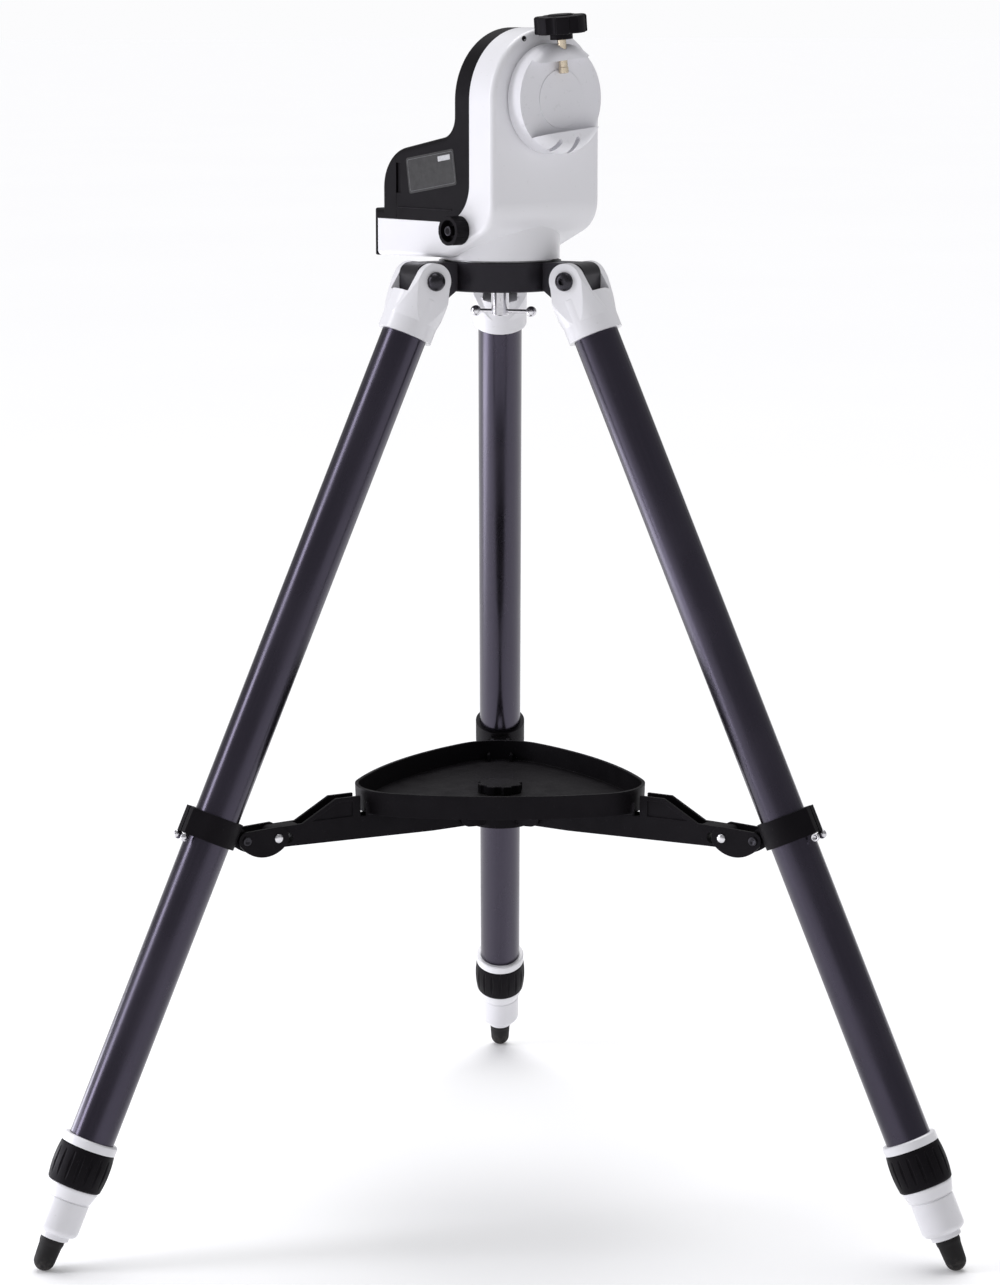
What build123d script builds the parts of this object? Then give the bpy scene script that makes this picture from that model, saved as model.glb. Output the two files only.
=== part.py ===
from build123d import *
from math import cos, radians, sin
import os

os.makedirs("parts", exist_ok=True)

# Row frame: millimetres, +Z up, origin on the azimuth axis at ground level,
# +X out of the telescope saddle along the altitude axis.

# ---------------------------------------------------------------- tripod
leg_azimuths = [18.5, 138.5, 258.5]
leg_lean = 24.54              # tube axis from the vertical
leg_radius = 60.13            # where the pivot's height meets the tube axis
leg_height = 665.92
pivot_offset = 2.6            # the leg pivot lies this far outside the tube axis
foot_distance = 731.25        # from there to the end of the rubber tip
tube_radius = 15.875          # 1.25 inch tube
tube_wall = 1.5
tube_top = -19.0
tube_bottom = -645.0
lower_tube_radius = 12.7      # 1 inch tube
lower_tube_wall = 1.2
lower_tube_top = -232.0
fit = 0.08                    # radial clearance of every running fit
gap = 0.3                     # clearance of faces that pass each other

# ---------------------------------------------------------------- hub
hub_radius = 43.0
hub_bottom = 658.8
hub_top = 679.0
lug_half = 12.0
pivot_bolt_radius = 4.0
ear_radius = 12.4
ear_half = 19.2
socket_radius = 19.4
ear_foot = 19.0               # half width of the ears where they leave the socket
deck_height = -12.7           # leg frame height where the spread stop bears
socket_bottom = -40.5

# ---------------------------------------------------------------- spreader
centre_hinge = (30.0, 283.0)      # radius and height of the arm's inner hinge
link_hinge = (183.0, 284.8)       # arm to link
collar_hinge = (207.3, 285.6)     # link to leg collar
arm_half = 7.0
hinge_pin_radius = 2.0
tray_floor = 294.4
tray_rim = 311.0
tray_corner_radius = 40.0
tray_corner_distance = 73.0
tray_side_distance = 85.0      # to the middle of each bulging side

# ---------------------------------------------------------------- head
axis_height = 791.8           # altitude axis
dome_height = 790.0           # centre of the domed top
half_width = 50.0             # body across Y, also the radius of its domed top
front_face = 49.0
rear_face = 7.2               # back of the upright arm
base_bottom = 682.5
back_end_bottom = 680.6       # the base drops slightly toward the battery door
door_back = -79.0
shell_wall = 2.5
seam_x = 24.6                 # white shell to black cover on the arm
seam_height = 707.0           # and along the base
collar_radius = 42.0
collar_bottom = 680.5
saddle_tilt = 5.5
saddle_radius = 37.4
saddle_floor = 14.0           # channel floor above the front face
saddle_front = 23.0           # top of the jaws above the front face
channel_middle = 2.5          # the channel runs this far above the altitude axis
channel_half = 26.0           # half of the dovetail channel at its floor
lip_half = 23.6               # and just in front of its jaws
wheel_radius = 30.0
wheel_teeth = 72
worm_radius = 5.0
worm_distance = wheel_radius + worm_radius + gap


def save(solid, name):
    solid.label = name
    export_step(solid, f"parts/{name}.step")


def turned(plane, outline):
    """Ring or shaft turned about the plane's z axis, from (radius, height) points."""
    side = Plane(origin=plane.origin, x_dir=plane.x_dir, z_dir=-plane.y_dir)
    with BuildPart() as piece:
        with BuildSketch(side):
            with BuildLine():
                Polyline(*outline, close=True)
            make_face()
        revolve(axis=Axis(plane.origin, plane.z_dir))
    return piece.part


def shaft(plane, radius, low, high, bore=0.0):
    """Round bar or tube along the plane's z axis."""
    return turned(plane, [(bore, low), (radius, low), (radius, high), (bore, high)])


def leg_frame(azimuth):
    """z up the tube, x outward, y sideways; origin on the tube axis at the pivot."""
    a = radians(azimuth)
    t = radians(leg_lean)
    origin = (leg_radius * cos(a), leg_radius * sin(a), leg_height)
    outward = (cos(t) * cos(a), cos(t) * sin(a), sin(t))
    up = (-sin(t) * cos(a), -sin(t) * sin(a), cos(t))
    return Plane(origin=origin, x_dir=outward, z_dir=up)


def leg_side(frame, sideways=0.0):
    """Drawing plane in the leg's own outward/up axes, at a sideways distance."""
    return Plane(origin=frame.origin + frame.y_dir * sideways, x_dir=frame.x_dir, z_dir=-frame.y_dir)


def radial_side(azimuth, sideways=0.0):
    """Drawing plane of radius and height, at a sideways distance from the azimuth."""
    a = radians(azimuth)
    origin = (-sin(a) * sideways, cos(a) * sideways, 0)
    return Plane(origin=origin, x_dir=(cos(a), sin(a), 0), z_dir=(sin(a), -cos(a), 0))


def cross_bar(azimuth, point, radius, half_length):
    """Round bar across a radial plane through a (radius, height) point."""
    with BuildPart() as bar:
        with BuildSketch(radial_side(azimuth)):
            with Locations(point):
                Circle(radius)
        extrude(amount=half_length, both=True)
    return bar.part


# The leg pivot in radius and height, from the leg's own frame.
lean = radians(leg_lean)
leg_pivot = (leg_radius + pivot_offset * cos(lean), leg_height + pivot_offset * sin(lean))


def in_leg(radius, height):
    """Leg frame (outward, up) of a point given as radius and height."""
    r = radius - leg_radius
    z = height - leg_height
    return (r * cos(lean) + z * sin(lean), -r * sin(lean) + z * cos(lean))


# ================================================================ tripod hub
stop_outer = (74.0, 658.6)
stop_length = 12.0
stop_inner = (stop_outer[0] - stop_length * cos(lean), stop_outer[1] - stop_length * sin(lean))

with BuildPart() as tripod_hub:
    with BuildSketch(Plane.XY.offset(hub_bottom)):
        Circle(hub_radius)
    extrude(amount=hub_top - hub_bottom)
    chamfer(tripod_hub.faces().sort_by(Axis.Z)[0].edges(), 0.8)
    for azimuth in leg_azimuths:
        with BuildSketch(radial_side(azimuth)):
            with BuildLine():
                Polyline((20, hub_top), (66, hub_top))
                RadiusArc((66, hub_top), (74, hub_top - 8), 8)
                Polyline((74, hub_top - 8), stop_outer, stop_inner, (50.4, 653.0),
                         (42.0, hub_bottom + 0.4), (20, hub_bottom + 0.4), (20, hub_top))
            make_face()
        extrude(amount=lug_half, both=True)
    for azimuth in leg_azimuths:
        with BuildSketch(radial_side(azimuth)):
            with Locations(leg_pivot):
                Circle(pivot_bolt_radius)
        extrude(amount=lug_half + 1, both=True, mode=Mode.SUBTRACT)
    with BuildSketch(Plane.XY.offset(hub_bottom - 1)):
        Circle(5.0 + fit)
    extrude(amount=hub_top - hub_bottom + 2, mode=Mode.SUBTRACT)
save(tripod_hub.part, "tripod_hub")


def pivot_frame(azimuth, side):
    """z outward along the pivot bolt, on one side of the leg."""
    a = radians(azimuth)
    origin = (leg_pivot[0] * cos(a), leg_pivot[0] * sin(a), leg_pivot[1])
    return Plane(origin=origin, x_dir=(cos(a), sin(a), 0), z_dir=(-sin(a) * side, cos(a) * side, 0))


head_seat = ear_half + gap

with BuildPart() as leg_pivot_bolts:
    for azimuth in leg_azimuths:
        frame = pivot_frame(azimuth, -1)
        with BuildSketch(leg_side(frame)):
            with BuildLine():
                Polyline((0, -head_seat - 1), (pivot_bolt_radius, -head_seat - 1),
                         (pivot_bolt_radius, head_seat), (6.6, head_seat), (6.6, head_seat + 1.2))
                ThreePointArc((6.6, head_seat + 1.2), (5.2, head_seat + 3.3), (2.6, head_seat + 4.2))
                Polyline((2.6, head_seat + 4.2), (0, head_seat + 4.2), (0, -head_seat - 1))
            make_face()
        revolve(axis=Axis(frame.origin, frame.z_dir))
        with BuildSketch(frame.offset(head_seat + 2)):
            RegularPolygon(2.5, 6)
        extrude(amount=4, mode=Mode.SUBTRACT)
save(leg_pivot_bolts.part, "leg_pivot_bolts")

with BuildPart() as leg_pivot_nuts:
    for azimuth in leg_azimuths:
        frame = pivot_frame(azimuth, 1)
        with BuildSketch(leg_side(frame)):
            with BuildLine():
                Polyline((0, head_seat + 1), (pivot_bolt_radius, head_seat + 1),
                         (pivot_bolt_radius, head_seat), (6.6, head_seat), (6.6, head_seat + 1.4))
                ThreePointArc((6.6, head_seat + 1.4), (4.6, head_seat + 4.7), (1.0, head_seat + 6.2))
                Polyline((1.0, head_seat + 6.2), (0, head_seat + 6.2), (0, head_seat + 1))
            make_face()
        revolve(axis=Axis(frame.origin, frame.z_dir))
save(leg_pivot_nuts.part, "leg_pivot_nuts")

# Captive bolt that draws the head down on the hub, with its turning bar.
bolt_bar_azimuth = 33.5
bar_height = 643.0
bar_slide = 2.5               # the bar hangs off centre in its hole

with BuildPart() as hub_bolt:
    with BuildSketch(Plane.XZ):
        with BuildLine():
            Polyline((0, 640), (5.6, 640), (6.25, 640.6), (6.25, hub_bottom - gap),
                     (5, hub_bottom - gap), (5, 695), (4.2, 696), (0, 696), close=True)
        make_face()
    revolve(axis=Axis.Z)
    with BuildSketch(radial_side(bolt_bar_azimuth + 90)):
        with Locations((0, bar_height)):
            Circle(1.4)
    extrude(amount=10, both=True, mode=Mode.SUBTRACT)
save(hub_bolt.part, "hub_bolt")

with BuildPart() as hub_bolt_bar:
    with BuildSketch(radial_side(bolt_bar_azimuth + 90, -bar_slide)):
        with Locations((0, bar_height)):
            Circle(1.4)
    extrude(amount=19.8, both=True)
    bar_x = cos(radians(bolt_bar_azimuth))
    bar_y = sin(radians(bolt_bar_azimuth))
    for end in (bar_slide + 20.2, bar_slide - 20.2):
        with Locations((bar_x * end, bar_y * end, bar_height)):
            Sphere(3.75)
save(hub_bolt_bar.part, "hub_bolt_bar")

# ================================================================ legs
for number, azimuth in enumerate(leg_azimuths, start=1):
    frame = leg_frame(azimuth)
    tube_axis = Axis(frame.origin, frame.z_dir)

    ear_cone = turned(frame, [(0, -31), (socket_radius - 0.3, -31), (24.5, -4), (24.5, 20), (0, 20)])
    with BuildPart() as leg_bracket:
        with BuildSketch(leg_side(frame)):
            with BuildLine():
                Line((-ear_foot, -30), (ear_foot, -30))
                Line((ear_foot, -30), (pivot_offset + ear_radius, 0))
                ThreePointArc((pivot_offset + ear_radius, 0), (pivot_offset, ear_radius),
                              (pivot_offset - ear_radius, 0))
                Line((pivot_offset - ear_radius, 0), (-ear_foot, -30))
            make_face()
        extrude(amount=ear_half, both=True)
        # the ears narrow down to the round socket
        add(ear_cone, mode=Mode.INTERSECT)
        with BuildSketch(frame.offset(socket_bottom)):
            Circle(socket_radius)
        extrude(amount=deck_height - socket_bottom)
        # slot for the hub lug: shallow where the spread stop bears, deep elsewhere
        with BuildSketch(leg_side(frame)):
            with BuildLine():
                Polyline((30, 20), (30, deck_height), (3, deck_height), (3, deck_height - 1.8),
                         (-30, deck_height - 1.8), (-30, 20), close=True)
            make_face()
        extrude(amount=lug_half + gap, both=True, mode=Mode.SUBTRACT)
        with BuildSketch(leg_side(frame)):
            with Locations((pivot_offset, 0)):
                Circle(pivot_bolt_radius + fit)
        extrude(amount=30, both=True, mode=Mode.SUBTRACT)
        with BuildSketch(frame.offset(socket_bottom - 1)):
            Circle(tube_radius)
        extrude(amount=tube_top - socket_bottom + 1, mode=Mode.SUBTRACT)
    save(leg_bracket.part, f"leg_bracket_{number}")

    leg_tube = shaft(frame, tube_radius, tube_bottom, tube_top, bore=tube_radius - tube_wall)
    save(leg_tube, f"leg_tube_{number}")

    collar_x, collar_z = in_leg(*collar_hinge)
    with BuildPart() as spreader_collar:
        with BuildSketch(frame.offset(collar_z - 9.3)):
            Circle(19.0)
            with Locations((21, 0)):
                Rectangle(2.4, 11)
            make_hull()
        extrude(amount=18.6)
        with BuildSketch(leg_side(frame)):
            with BuildLine():
                Line((collar_x, collar_z + 5.5), (-14, collar_z + 8))
                Line((-14, collar_z + 8), (-14, collar_z - 8))
                Line((-14, collar_z - 8), (collar_x, collar_z - 5.5))
                ThreePointArc((collar_x, collar_z - 5.5), (collar_x - 5.5, collar_z),
                              (collar_x, collar_z + 5.5))
            make_face()
        extrude(amount=arm_half, both=True)
        with BuildSketch(leg_side(frame)):
            with Locations((collar_x, collar_z)):
                Circle(hinge_pin_radius + fit)
        extrude(amount=arm_half + 1, both=True, mode=Mode.SUBTRACT)
        # bore and pinch slit
        with BuildSketch(frame.offset(collar_z - 12)):
            Circle(tube_radius)
            with Locations((20, 0)):
                Rectangle(14, 1.2)
        extrude(amount=24, mode=Mode.SUBTRACT)
    save(spreader_collar.part, f"spreader_collar_{number}")

    ring_top = 96.8 - foot_distance - 0.8
    grip_top = 90.5 - foot_distance - 0.8
    grip_bottom = 62.8 - foot_distance - 0.8
    lock_body = turned(frame, [
        (tube_radius, ring_top), (18.4, ring_top), (19.2, ring_top - 0.8), (19.2, grip_top),
        (16.9, grip_top), (16.9, grip_bottom + 1), (lower_tube_radius + fit, grip_bottom + 1),
        (lower_tube_radius + fit, tube_bottom), (tube_radius, tube_bottom)])
    save(lock_body, f"lock_body_{number}")

    with BuildPart() as lock_grip:
        with BuildSketch(leg_side(frame)):
            with BuildLine():
                Polyline((18.6, grip_top - gap), (17.0, grip_top - gap), (17.0, grip_bottom + 0.7),
                         (13.2, grip_bottom + 0.7), (13.2, grip_bottom), (18.2, grip_bottom),
                         (18.9, grip_bottom + 1))
                ThreePointArc((18.9, grip_bottom + 1), (20.1, (grip_bottom + grip_top) / 2),
                              (19.2, grip_top - 1))
                Line((19.2, grip_top - 1), (18.6, grip_top - gap))
            make_face()
        revolve(axis=tube_axis)
        # finger grooves round the barrel
        with BuildSketch(frame.offset(grip_bottom + 3.2)):
            with PolarLocations(20.6, 18):
                Circle(1.35)
        extrude(amount=grip_top - grip_bottom - 6.8, mode=Mode.SUBTRACT)
    save(lock_grip.part, f"lock_grip_{number}")

    lower_tube = turned(frame, [
        (lower_tube_radius - lower_tube_wall, -692), (lower_tube_radius, -692),
        (lower_tube_radius, lower_tube_top - 12), (14.2, lower_tube_top - 12),
        (14.2, lower_tube_top), (lower_tube_radius - lower_tube_wall, lower_tube_top)])
    save(lower_tube, f"lower_tube_{number}")

    cap_top = grip_bottom - gap
    cap_bottom = 27.0 - foot_distance
    with BuildPart() as foot_cap:
        with BuildSketch(leg_side(frame)):
            with BuildLine():
                Polyline((lower_tube_radius, cap_top), (17.8, cap_top), (17.8, cap_top - 1.5),
                         (15.6, cap_top - 8.5), (14.7, cap_top - 8.9), (14.7, cap_top - 9.8),
                         (15.2, cap_top - 10.2), (15.2, cap_bottom + 5))
                ThreePointArc((15.2, cap_bottom + 5), (14.0, cap_bottom + 1.6), (10.6, cap_bottom))
                Polyline((10.6, cap_bottom), (10.6, cap_bottom - 3), (9.8, cap_bottom - 3.6),
                         (7.0, cap_bottom - 3.6), (7.0, -692), (lower_tube_radius, -692),
                         (lower_tube_radius, cap_top))
            make_face()
        revolve(axis=tube_axis)
    save(foot_cap.part, f"foot_cap_{number}")

    # rubber tip with a ball end, so it bears the same way at any lean
    ball = 7.4
    tip_end = -(leg_height - ball) / cos(lean) - ball
    with BuildPart() as foot_tip:
        with BuildSketch(leg_side(frame)):
            with BuildLine():
                Polyline((0, tip_end), (0, cap_bottom + 3), (7.0, cap_bottom + 3),
                         (7.0, cap_bottom - 3.6), (8.6, cap_bottom - 3.6),
                         (8.6, cap_bottom - 6.5), (8.0, cap_bottom - 9), (ball, tip_end + ball))
                ThreePointArc((ball, tip_end + ball),
                              (ball * cos(radians(45)), tip_end + ball - ball * sin(radians(45))),
                              (0, tip_end))
            make_face()
        revolve(axis=tube_axis)
    save(foot_tip.part, f"foot_tip_{number}")

# ================================================================ spreader
cheek_inner = arm_half + gap
cheek_outer = cheek_inner + 2.2

with BuildPart() as spreader_hub:
    with BuildSketch(Plane.XY.offset(273.5)):
        Circle(21.0)
    extrude(amount=tray_floor - 273.5)
    for azimuth in leg_azimuths:
        for side in (-1, 1):
            with BuildSketch(radial_side(azimuth, side * (cheek_inner + cheek_outer) / 2)):
                with BuildLine():
                    Polyline((14, 275), (centre_hinge[0], 275.5))
                    ThreePointArc((centre_hinge[0], 275.5), (centre_hinge[0] + 7.5, centre_hinge[1]),
                                  (centre_hinge[0], 290.5))
                    Polyline((centre_hinge[0], 290.5), (14, tray_floor - 1), (14, 275))
                make_face()
            extrude(amount=(cheek_outer - cheek_inner) / 2, both=True)
        add(cross_bar(azimuth, centre_hinge, hinge_pin_radius, cheek_outer - 0.2))
    with BuildSketch(Plane.XY.offset(tray_floor)):
        Circle(2.6)
    extrude(amount=-16, mode=Mode.SUBTRACT)
save(spreader_hub.part, "spreader_hub")


def around(azimuth, along, across):
    """Point at a distance along an azimuth and another across it."""
    a = radians(azimuth)
    return (along * cos(a) - across * sin(a), along * sin(a) + across * cos(a))


def tray_outline(inset):
    """Bulging triangle with a round corner toward each leg."""
    reach = tray_side_distance - tray_corner_radius
    corner_along = tray_corner_distance * cos(radians(60))
    corner_across = tray_corner_distance * sin(radians(60))
    back = (tray_corner_distance ** 2 - reach ** 2) / (2 * (reach - corner_along))
    grip = (tray_corner_radius - inset) / (back + reach)
    join_along = corner_along + grip * (corner_along + back)
    join_across = corner_across * (1 + grip)
    tip = tray_corner_distance + tray_corner_radius - inset
    with BuildSketch() as outline:
        with BuildLine():
            for azimuth in leg_azimuths:
                side_start = around(azimuth + 60, join_along, -join_across)
                side_end = around(azimuth + 60, join_along, join_across)
                next_side = around(azimuth + 180, join_along, -join_across)
                ThreePointArc(side_start, around(azimuth + 60, tray_side_distance - inset, 0), side_end)
                ThreePointArc(side_end, around(azimuth + 120, tip, 0), next_side)
        make_face()
    return outline.sketch


with BuildPart() as accessory_tray:
    with BuildSketch(Plane.XY.offset(tray_floor)):
        add(tray_outline(0.6))
    with BuildSketch(Plane.XY.offset(tray_rim)):
        add(tray_outline(0.0))
    loft()
    with BuildSketch(Plane.XY.offset(tray_floor + 2.2)):
        add(tray_outline(3.0))
    with BuildSketch(Plane.XY.offset(tray_rim)):
        add(tray_outline(2.4))
    loft(mode=Mode.SUBTRACT)
    with BuildSketch(Plane.XY.offset(tray_floor)):
        Circle(2.8)
    extrude(amount=4, mode=Mode.SUBTRACT)
save(accessory_tray.part, "accessory_tray")

knob_bottom = tray_floor + 2.2 + gap
with BuildPart() as tray_screw:
    with BuildSketch(Plane.XY.offset(knob_bottom)):
        Circle(16.2)
        with PolarLocations(18.6, 8):
            Circle(4.4, mode=Mode.SUBTRACT)
    extrude(amount=6)
    fillet(tray_screw.faces().sort_by(Axis.Z)[-1].edges(), 1.0)
    with BuildSketch(Plane.XY.offset(knob_bottom - 17)):
        Circle(2.5)
    extrude(amount=18)
save(tray_screw.part, "tray_screw")

bump_inner = 117.5
slot_middle = (179.2, 283.8)      # the link pin wanders in this slot as the legs fold
slot_length = 10.0
slot_width = 7.4
for number, azimuth in enumerate(leg_azimuths, start=1):
    with BuildPart() as spreader_arm:
        with BuildSketch(radial_side(azimuth)):
            with BuildLine():
                Line((centre_hinge[0], 276), (60, 275.5))
                Line((60, 275.5), (172, 277.6))
                Line((172, 277.6), (link_hinge[0], 277.6))
                ThreePointArc((link_hinge[0], 277.6), (link_hinge[0] + 7.2, link_hinge[1]),
                              (link_hinge[0], 292.0))
                Polyline((link_hinge[0], 292.0), (163, 292.5), (136.5, 307.3), (bump_inner, 307.3),
                         (bump_inner, 292.5), (60, 292.5), (centre_hinge[0], 290))
                ThreePointArc((centre_hinge[0], 290), (centre_hinge[0] - 7, 283),
                              (centre_hinge[0], 276))
            make_face()
        extrude(amount=arm_half, both=True)
        # open channel along the top, closed at the two hinge ends
        with BuildSketch(radial_side(azimuth)):
            with BuildLine():
                Polyline((44, 310), (44, 278.5), (160, 280.5), (166, 284), (166, 310), close=True)
            make_face()
        extrude(amount=arm_half - 2.2, both=True, mode=Mode.SUBTRACT)
        # shallow triangular panel on each side of the ramp
        for side in (-1, 1):
            with BuildSketch(radial_side(azimuth, side * arm_half)):
                with BuildLine():
                    Polyline((bump_inner + 6, 304.6), (135.4, 304.6), (155.5, 293.4),
                             (bump_inner + 6, 293.4), close=True)
                make_face()
            extrude(amount=0.8, both=True, mode=Mode.SUBTRACT)
        with BuildSketch(radial_side(azimuth)):
            with Locations(centre_hinge):
                Circle(hinge_pin_radius + fit)
            with Locations(slot_middle):
                SlotCenterToCenter(slot_length, slot_width)
        extrude(amount=arm_half + 1, both=True, mode=Mode.SUBTRACT)
    save(spreader_arm.part, f"spreader_arm_{number}")

    with BuildPart() as spreader_link:
        for side in (-1, 1):
            with BuildSketch(radial_side(azimuth, side * (cheek_inner + cheek_outer) / 2)):
                with BuildLine():
                    ThreePointArc((176.6, 280.2), (195, 272.6), (210.8, 280.6))
                    ThreePointArc((210.8, 280.6), (213.4, 286.0), (209.4, 291.6))
                    Line((209.4, 291.6), (181.0, 293.0))
                    ThreePointArc((181.0, 293.0), (175.6, 287.6), (176.6, 280.2))
                make_face()
            extrude(amount=(cheek_outer - cheek_inner) / 2, both=True)
        add(cross_bar(azimuth, link_hinge, hinge_pin_radius, cheek_outer + 0.5))
        add(cross_bar(azimuth, collar_hinge, hinge_pin_radius, cheek_outer + 0.5))
    save(spreader_link.part, f"spreader_link_{number}")

# ================================================================ azimuth bearing
with BuildPart() as azimuth_base:
    with BuildSketch(Plane.XZ):
        with BuildLine():
            Polyline((5, hub_top), (36.5, hub_top), (36.5, 684), (16, 684), (16, 694), (9, 694),
                     (9, 709), (0, 709), (0, 697), (5, 697), close=True)
        make_face()
    revolve(axis=Axis.Z)
save(azimuth_base.part, "azimuth_base")


def worm_wheel(plane, low, high, bore):
    """Toothed wheel about the plane's z axis."""
    with BuildPart() as wheel:
        with BuildSketch(plane.offset(low)):
            Circle(wheel_radius)
            Circle(bore, mode=Mode.SUBTRACT)
            with PolarLocations(wheel_radius, wheel_teeth):
                Rectangle(2.2, 1.2, mode=Mode.SUBTRACT)
            with PolarLocations(19, 6):
                Circle(4.5, mode=Mode.SUBTRACT)
        extrude(amount=high - low)
    return wheel.part


def worm(plane, low, high):
    """Worm with its shaft; the shaft runs on into the motor."""
    with BuildPart() as screw:
        with BuildSketch(leg_side(plane)):
            with BuildLine():
                Polyline((0, low), (1.5, low), (1.5, -9), (worm_radius - 1, -9),
                         (worm_radius - 1, 9), (1.5, 9), (1.5, high), (0, high), close=True)
            make_face()
        revolve(axis=Axis(plane.origin, plane.z_dir))
        for turn in range(6):
            with BuildSketch(plane.offset(-8.0 + turn * 2.8)):
                Circle(worm_radius)
            extrude(amount=1.3)
    return screw.part


def gear_motor(plane, radius, start, length):
    """Motor can and gearbox along the plane's z axis, with a bore for the worm's shaft."""
    with BuildPart() as motor:
        with BuildSketch(leg_side(plane)):
            with BuildLine():
                Polyline((0, start + 10), (1.5 + fit, start + 10), (1.5 + fit, start), (radius, start),
                         (radius, start + 12), (radius - 1.5, start + 12),
                         (radius - 1.5, start + length), (3, start + length),
                         (3, start + length + 2), (0, start + length + 2), close=True)
            make_face()
        revolve(axis=Axis(plane.origin, plane.z_dir))
    return motor.part


save(worm_wheel(Plane.XY, 697.5, 705.5, 9.0), "azimuth_worm_wheel")
azimuth_worm_axis = Plane(origin=(-worm_distance, 0, 701.5), x_dir=(1, 0, 0), z_dir=(0, 1, 0))
save(worm(azimuth_worm_axis, -12, 24), "azimuth_worm")
save(gear_motor(azimuth_worm_axis, 8.5, 15.5, 27), "azimuth_motor")

# ================================================================ head shells
hump_back = -69.5
hump_corner = (hump_back, 752.6)
arm_foot = (rear_face, 767.4)
front_corner = (front_face, 705.5)
rounded_corners = [(hump_corner, 29), (arm_foot, 15), (front_corner, 24), ((0, base_bottom), 20)]


def body_blank(inset, edge_round=0.0):
    """The head's L-shaped body, drawn from the side and from the front."""
    with BuildPart() as blank:
        with BuildSketch(Plane.XZ) as side:
            with BuildLine():
                Polyline((door_back, back_end_bottom), (0, base_bottom), front_corner,
                         (front_face, 850), (rear_face, 850), arm_foot, hump_corner,
                         (hump_back, 714), (door_back, 714), close=True)
            make_face()
            for point, radius in rounded_corners:
                fillet(side.vertices().sort_by_distance(point)[0], radius)
            if inset:
                offset(amount=-inset, kind=Kind.INTERSECTION, mode=Mode.REPLACE)
        extrude(amount=half_width - inset, both=True)
        with BuildSketch(Plane.YZ.offset(-120)):
            with Locations((0, dome_height)):
                Circle(half_width - inset)
            with Locations((0, dome_height - 100)):
                Rectangle(2 * (half_width - inset), 200)
        extrude(amount=240, mode=Mode.INTERSECT)
        if edge_round:
            outer = [edge for edge in blank.edges()
                     if abs(abs(edge.center().Y) - half_width) < 0.01
                     and abs(edge.center().Z - dome_height) > 0.01]
            arcs = [edge for edge in blank.edges().filter_by(GeomType.CIRCLE)
                    if edge.center().Z > dome_height]
            fillet(outer + arcs, edge_round)
    return blank.part


def side_block(points, rounded=(), radius=1.0, half=60.0):
    """Block as wide as the head, with a side outline, for dividing the shells."""
    with BuildPart() as block:
        with BuildSketch(Plane.XZ) as side:
            with BuildLine():
                Polyline(*points, close=True)
            make_face()
            for point in rounded:
                fillet(side.vertices().sort_by_distance(point)[0], radius)
        extrude(amount=half, both=True)
    return block.part


door_front = -53.5            # battery door's front edge on the hump
door_split = -76.0            # its back plate below the hump
housing_back = -74.0
outer_body = body_blank(0.0, edge_round=4.0)
inner_body = body_blank(shell_wall)
cover_block = side_block(
    [(-120, seam_height), (seam_x, seam_height), (seam_x, 900), (-120, 900)],
    rounded=[(seam_x, seam_height)], radius=27)
door_block = side_block(
    [(-120, 600), (door_split, 600), (door_split, seam_height), (door_front, seam_height),
     (door_front, 900), (-120, 900)])
open_back = side_block([(-120, 600), (housing_back, 600), (housing_back, 900), (-120, 900)])

screw_places = [(-38, 783.5), (38, 783.5), (-30, 815), (30, 815)]
azimuth_lock = (15.0, 702.0)
motor_axis_height = axis_height - worm_distance
motor_axis_x = 25.5
saddle_back = front_face + gap

with BuildPart() as housing:
    add(outer_body)
    add(inner_body, mode=Mode.SUBTRACT)
    add(cover_block, mode=Mode.SUBTRACT)
    add(open_back, mode=Mode.SUBTRACT)
    with Locations((housing_back + 1, 0, (back_end_bottom + seam_height) / 2 + 0.5)):
        Box(2, 2 * half_width - 4, seam_height - back_end_bottom - 2)
    # collar that turns round the azimuth base; inside, its rear half stays low
    with BuildSketch(Plane.XY.offset(collar_bottom)):
        Circle(collar_radius)
    extrude(amount=24.5)
    with BuildSketch(Plane.XY.offset(collar_bottom - 1)):
        Circle(collar_radius - 2.7)
    extrude(amount=27, mode=Mode.SUBTRACT)
    with BuildSketch(Plane.XY.offset(collar_bottom + 10)):
        Circle(collar_radius + 1.5)
        with Locations((65, 0)):
            Rectangle(120, 120, mode=Mode.SUBTRACT)
    extrude(amount=16, mode=Mode.SUBTRACT)
    # altitude bearing boss and screw bosses behind the front wall
    with BuildSketch(Plane.YZ.offset(30.5)):
        with Locations((0, axis_height)):
            Circle(14)
    extrude(amount=front_face - 30.5 - 1)
    with BuildSketch(Plane.YZ.offset(rear_face + shell_wall)):
        with Locations(*screw_places):
            Circle(3.5)
    extrude(amount=front_face - rear_face - shell_wall - 1)
    with BuildSketch(Plane.YZ.offset(rear_face)):
        with Locations(*screw_places):
            Circle(1.5)
    extrude(amount=22, mode=Mode.SUBTRACT)
    with BuildSketch(Plane.YZ.offset(20)):
        with Locations((0, axis_height)):
            Circle(8 + fit)
    extrude(amount=40, mode=Mode.SUBTRACT)
    # motor cradles and battery holder posts
    with Locations((42.0, 30, motor_axis_height)):
        Box(11.4, 18, 12)
    with Locations((-worm_distance, 30, 688.75)):
        Box(12, 18, 8.5)
    with BuildSketch(Plane.XY.offset(base_bottom + 1)):
        with Locations((-60, -38), (-60, 38), (-8, -42), (-8, 42)):
            Circle(2.6)
    extrude(amount=711 - base_bottom - 1)
    # azimuth lock screw hole
    with BuildSketch(Plane.XZ.offset(half_width + 1)):
        with Locations(azimuth_lock):
            Circle(3 + fit)
    extrude(amount=-5, mode=Mode.SUBTRACT)
save(housing.part, "housing")

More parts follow.
